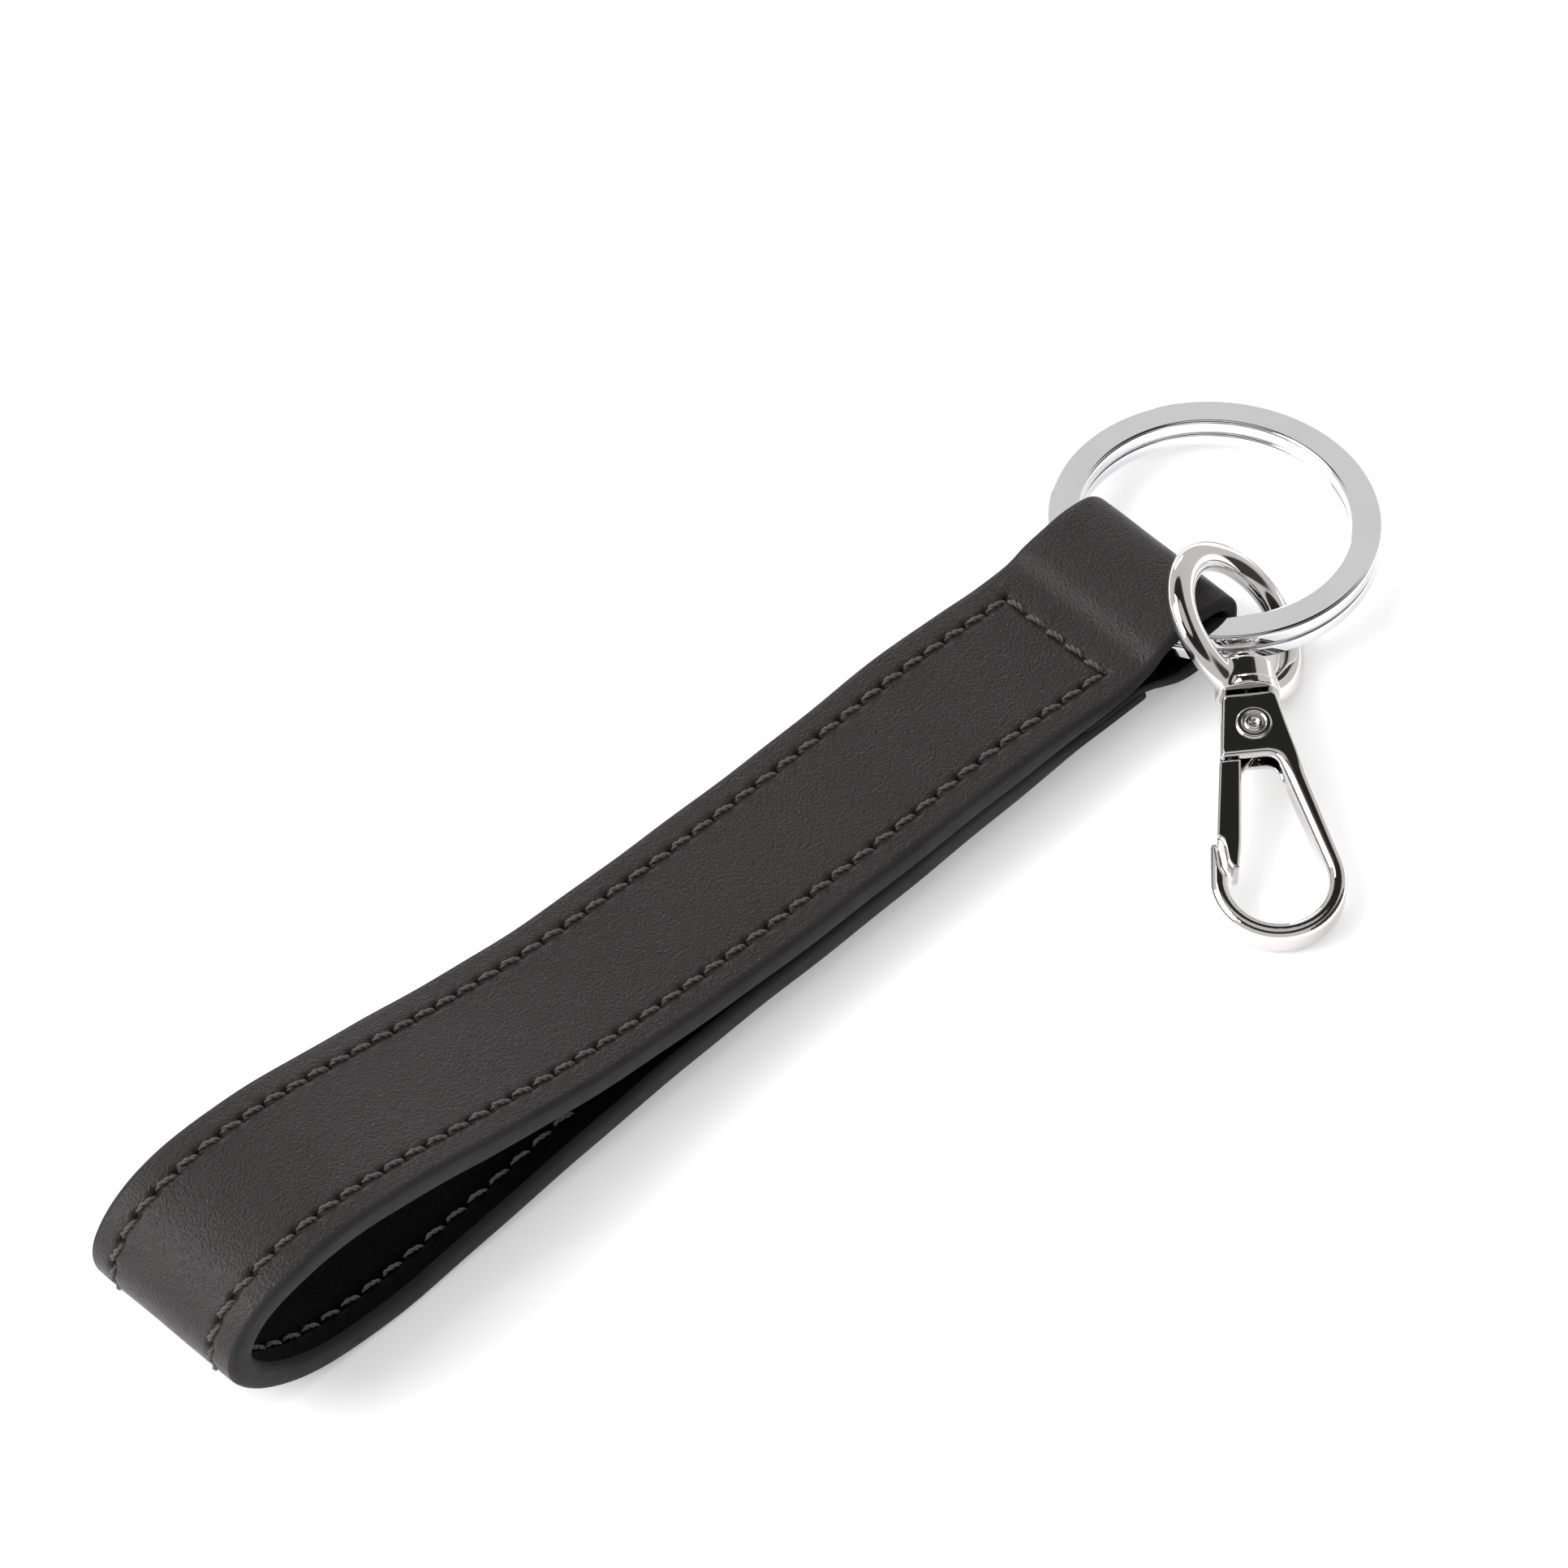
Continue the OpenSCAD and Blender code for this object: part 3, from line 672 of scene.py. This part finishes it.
BEND = 16.8
outline = [np.array(p, float) for p in ((-3.5, -2.55), (3.3, -3.6), (3.3, 1.66))]
cut = [0.7, 0.45, 1.1]
outline += arc_pts(BEND, 4.7, 103.2, -90, 30)
cut += [0] * 30
outline += [np.array(p, float) for p in ((15.9, -4.6), (14.9, -4.95), (12.9, -5.05), (12.3, -5.3), (12.25, -5.75), (12.7, -5.97))]
cut += [0.4, 0.4, 0.3, 0.2, 0.2, 0.2]
outline += arc_pts(BEND, 6.5, -90, 102, 34)
cut += [0] * 34
outline += [np.array(p, float) for p in ((1.5, 3.4), (-3.5, 2.6))]
cut += [3.0, 0.7]
HOOK_OUT = fillet(outline, cut)
HOOK_T = 1.7


def hook_f(P):
    d2 = poly_sd(P[:, :2], HOOK_OUT)
    body = slab(d2, P[:, 2], HOOK_T, 0.42)
    # the arms are rounder than the block
    arm = slab(d2, P[:, 2], HOOK_T, 0.86)
    k = smooth((P[:, 0] - 2.4) / 4.0)
    body = body * (1 - k) + arm * k
    slot = block(P, (-2.0, -4.6, -0.85), (4.2, 2.3, 0.85), 0.1)
    body = smax(body, -slot, 0.14)
    # shallow channel down the inside of the solid arm, below the slot
    ch = block(P, (3.0, 1.0, -0.6), (7.6, 2.35, 0.6), 0.25)
    return smax(body, -ch, 0.18)


cast("hook_casting", hook_f, (-4, -7.2, -2.1), (23.8, 7.2, 2.1), 0.15, HOOK_R, HOOK_P, M_nickel, "hook", "nickel_plate", "hook_body")

GATE = fillet([np.array(p, float) for p in ((3.62, -3.78), (11.95, -5.18), (12.0, -4.95), (12.3, -4.72), (12.9, -4.62), (14.6, -4.55), (15.5, -4.15), (15.45, -3.5), (12.5, -2.9), (3.62, -1.68))],
              [0.3, 0.2, 0.15, 0.15, 0.15, 0.3, 0.3, 0.4, 0.8, 0.3])
TANG = fillet([np.array(p, float) for p in ((-1.5, -1.2), (0.6, -1.7), (4.6, -3.3), (4.6, -2.0), (2.4, -0.1), (0.9, 1.45), (-0.7, 1.5), (-1.55, 0.6))], [0.7, 0.3, 0.1, 0.1, 0.5, 0.7, 0.7, 0.7])


def gate_f(P):
    bar = slab(poly_sd(P[:, :2], GATE), P[:, 2], HOOK_T, 0.36)
    Q = P[:, 2] + 0.425
    tang = slab(poly_sd(P[:, :2], TANG), Q, 0.375, 0.08)
    f = smin(bar, tang, 0.12)
    return smax(f, 0.85 - np.hypot(P[:, 0], P[:, 1]), 0.05)


cast("gate_bar", gate_f, (-2.1, -5.7, -2.0), (16.0, 2.1, 2.0), 0.14, HOOK_R, HOOK_P, M_nickel, "gate_arm", "nickel_plate", "gate")


def eye_f(P):
    x, y, z = P.T
    r = np.hypot(x, y)
    q0, q1 = (r - 7.25) / 1.5, z / 1.2
    n4 = (np.abs(q0) ** 2.05 + np.abs(q1) ** 2.05) ** (1 / 2.05)
    bar = (n4 - 1) * 1.25
    rr = np.hypot(y, z)
    c0, c1 = rr - 2.98, np.abs(x - 6.7) - 1.75
    b = 0.42
    boss = np.minimum(np.maximum(c0 + b, c1 + b), 0) + np.hypot(np.maximum(c0 + b, 0), np.maximum(c1 + b, 0)) - b
    f = smin(bar, boss, 0.75)
    # collar rim at the foot of the boss
    rim = np.maximum(rr - 3.05, np.abs(x - 7.75) - 0.4)
    f = smin(f, rim, 0.2)
    f = smax(f, x - 8.18, 0.12)
    return smax(f, 1.31 - rr - np.maximum(0, 2.5 - x) * 5, 0.08)


cast("eye_casting", eye_f, (-9.4, -9.4, -3.6), (9.2, 9.4, 3.6), 0.16, EYE_R, EYE_P, M_nickel, "eye", "nickel_plate", "swivel_eye")


def lathe(profile, axis, steps=72):
    """A turned piece: profile is (radius, height) pairs from foot to top, turned about axis X or Z."""
    prof = np.array(profile, float)
    a = np.arange(steps) * 2 * np.pi / steps
    c, s = np.cos(a), np.sin(a)
    R, H = prof[:, 0], prof[:, 1]
    if axis == "Z":
        V = np.stack([R[:, None] * c, R[:, None] * s, np.broadcast_to(H[:, None], (len(R), steps))], 2)
    else:
        V = np.stack([np.broadcast_to(H[:, None], (len(R), steps)), R[:, None] * c, R[:, None] * s], 2)
    n, m = len(R), steps
    F = [(i * m + j, i * m + (j + 1) % m, (i + 1) * m + (j + 1) % m, (i + 1) * m + j) for i in range(n - 1) for j in range(m)]
    F.append(tuple(range(m - 1, -1, -1)))
    F.append(tuple((n - 1) * m + j for j in range(m)))
    return V.reshape(-1, 3), F


def round_profile(pts, r=0.06, steps=3):
    """Rounds the inner corners of an open profile."""
    P = [np.array(p, float) for p in pts]
    out = [P[0]]
    for a, p, b in zip(P[:-2], P[1:-1], P[2:]):
        la, lb = np.linalg.norm(a - p), np.linalg.norm(b - p)
        q = min(r, 0.45 * la, 0.45 * lb)
        A, B = p + (a - p) / la * q, p + (b - p) / lb * q
        out += [(1 - u) ** 2 * A + 2 * u * (1 - u) * p + u * u * B for u in np.linspace(0, 1, steps + 1)]
    return out + [P[-1]]


def rivet_half(sign):
    t = HOOK_T
    pts = [(0.80, t - 0.5), (0.80, t - 0.02), (1.72, t - 0.02), (1.72, t + 0.12), (1.55, t + 0.24), (1.22, t + 0.24), (1.08, t + 0.12), (0.92, t + 0.12), (0.8, t + 0.26), (0.55, t + 0.30), (0.42, t + 0.18), (0.22, t + 0.05), (0.02, t + 0.02)]
    v, f = lathe(round_profile(pts), "Z")
    v[:, 2] *= sign
    return v, [tuple(reversed(x)) for x in f] if sign < 0 else f


shank = lathe([(0.8, -HOOK_T + 0.4), (0.8, HOOK_T - 0.4)], "Z")
v, f = merge([rivet_half(1), rivet_half(-1), shank])
o = put("gate_pivot_rivet", v @ HOOK_R.T + HOOK_P, f, [M_nickel])
o.modifiers.new("flats", "WEIGHTED_NORMAL").keep_sharp = False
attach(o, "hook")
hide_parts("gate_rivet")

u0 = -11.9 + 4.9
pts = [(0.02, u0 - 1.25), (1.2, u0 - 1.18), (1.75, u0 - 0.95), (2.0, u0 - 0.65), (2.0, u0 - 0.12), (1.9, u0 - 0.04), (1.22, u0 - 0.02), (1.22, -2.4)]
v, f = lathe(round_profile(pts, 0.12), "X")
o = put("swivel_pin", v @ HOOK_R.T + HOOK_P, f, [M_nickel])
o.modifiers.new("flats", "WEIGHTED_NORMAL").keep_sharp = False
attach(o, "hook")
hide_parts("swivel_stem")

a = np.linspace(0, 2 * math.pi * 1.9, 70)
coil = np.stack([1.16 * np.cos(a), 1.16 * np.sin(a), 0.14 + 0.36 * a / a[-1]], 1)
leg1 = coil[0] + np.linspace(1, 0, 8)[:-1, None] * np.array([0.25, -1.9, 0])
t_end = np.array([-math.sin(a[-1]), math.cos(a[-1]), 0])
leg2 = coil[-1] + np.linspace(0, 1, 8)[1:, None] * t_end * 1.5
v, f = tube(np.vstack([leg1, coil, leg2]), 0.13, 10, np.array([0.02, 0.03, 1.0]))
o = put("gate_torsion_spring", v @ HOOK_R.T + HOOK_P, f, [M_spring])
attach(o, "hook")
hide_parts("gate_spring")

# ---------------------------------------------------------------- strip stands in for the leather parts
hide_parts("outer_leather", "lining_leather", "core_tape", "keeper_tail", "keeper_leather", "keeper_lining")
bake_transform(strip_obj)

# ---------------------------------------------------------------- floor and light
n = 24
xs = np.linspace(-3000, 3000, n)
gx, gy = np.meshgrid(xs, xs, indexing="ij")
fv = np.stack([gx, gy, np.zeros_like(gx)], 2).reshape(-1, 3)
ff = [(i * n + j, (i + 1) * n + j, (i + 1) * n + j + 1, i * n + j + 1) for i in range(n - 1) for j in range(n - 1)]
fm = Nodes("pale_floor")
fm.set(Base_Color=(0.90, 0.90, 0.905, 1), Roughness=0.9, Specular_IOR_Level=0.0, Emission_Color=(1, 1, 1, 1), Emission_Strength=0.26)
floor = put("floor", fv, ff, [fm.m], shift=False)

world = bpy.data.worlds.new("studio")
scene.world = world
world.use_nodes = True
wt = world.node_tree
bg = next(x for x in wt.nodes if x.type == "BACKGROUND")
tc = wt.nodes.new("ShaderNodeTexCoord")
sep = wt.nodes.new("ShaderNodeSeparateXYZ")
wt.links.new(tc.outputs["Generated"], sep.inputs[0])
ramp = wt.nodes.new("ShaderNodeValToRGB")
wt.links.new(sep.outputs["Z"], ramp.inputs["Fac"])
cr = ramp.color_ramp
cr.interpolation = "EASE"
cr.elements[0].position, cr.elements[0].color = 0.0, (0.88, 0.88, 0.89, 1)
cr.elements[1].position, cr.elements[1].color = 1.0, (0.80, 0.80, 0.80, 1)
for pos, v_ in ((0.30, 0.88), (0.67, 0.85), (0.735, 0.05), (0.9, 0.03), (0.935, 0.03), (0.957, 0.75)):
    e = cr.elements.new(pos)
    e.color = (v_, v_ * 0.995, v_ * 0.99, 1)
# a dark flag standing on the near side of the studio
dot = wt.nodes.new("ShaderNodeVectorMath")
dot.operation = "DOT_PRODUCT"
wt.links.new(tc.outputs["Generated"], dot.inputs[0])
dot.inputs[1].default_value = Vector((0.50, -0.85, 0.10)).normalized()
wall = wt.nodes.new("ShaderNodeMapRange")
wall.interpolation_type = "SMOOTHSTEP"
wt.links.new(dot.outputs["Value"], wall.inputs["Value"])
for key, val in (("From Min", 0.78), ("From Max", 0.88), ("To Min", 1.0), ("To Max", 0.08)):
    wall.inputs[key].default_value = val
shade = wt.nodes.new("ShaderNodeVectorMath")
shade.operation = "SCALE"
wt.links.new(ramp.outputs["Color"], shade.inputs[0])
wt.links.new(wall.outputs["Result"], shade.inputs["Scale"])
wt.links.new(shade.outputs["Vector"], bg.inputs["Color"])
bg.inputs["Strength"].default_value = 0.85


def softbox(name, direction, dist, w, h, power, colour=(1, 1, 1), glossy=True):
    d = Vector(direction).normalized()
    L = bpy.data.lights.new(name, "AREA")
    L.shape, L.size, L.size_y, L.energy, L.color = "RECTANGLE", w, h, power, colour
    o = bpy.data.objects.new(name, L)
    o.location = Vector((0, 0, 0.01)) + d * dist
    o.rotation_mode = "QUATERNION"
    o.rotation_quaternion = d.to_track_quat("Z", "Y")
    o.visible_glossy = glossy
    scene.collection.objects.link(o)


softbox("key", (-0.64, 0.49, 0.59), 1.3, 0.95, 0.85, 16.5)
softbox("shoulder", (-0.24, 0.46, 0.86), 1.3, 0.75, 0.45, 2.0)
softbox("rim", (0.55, 0.85, 0.28), 1.3, 0.5, 0.25, 2.5)
softbox("fill", (0.05, 0.10, 1.0), 1.3, 2.6, 2.6, 17.0, glossy=False)
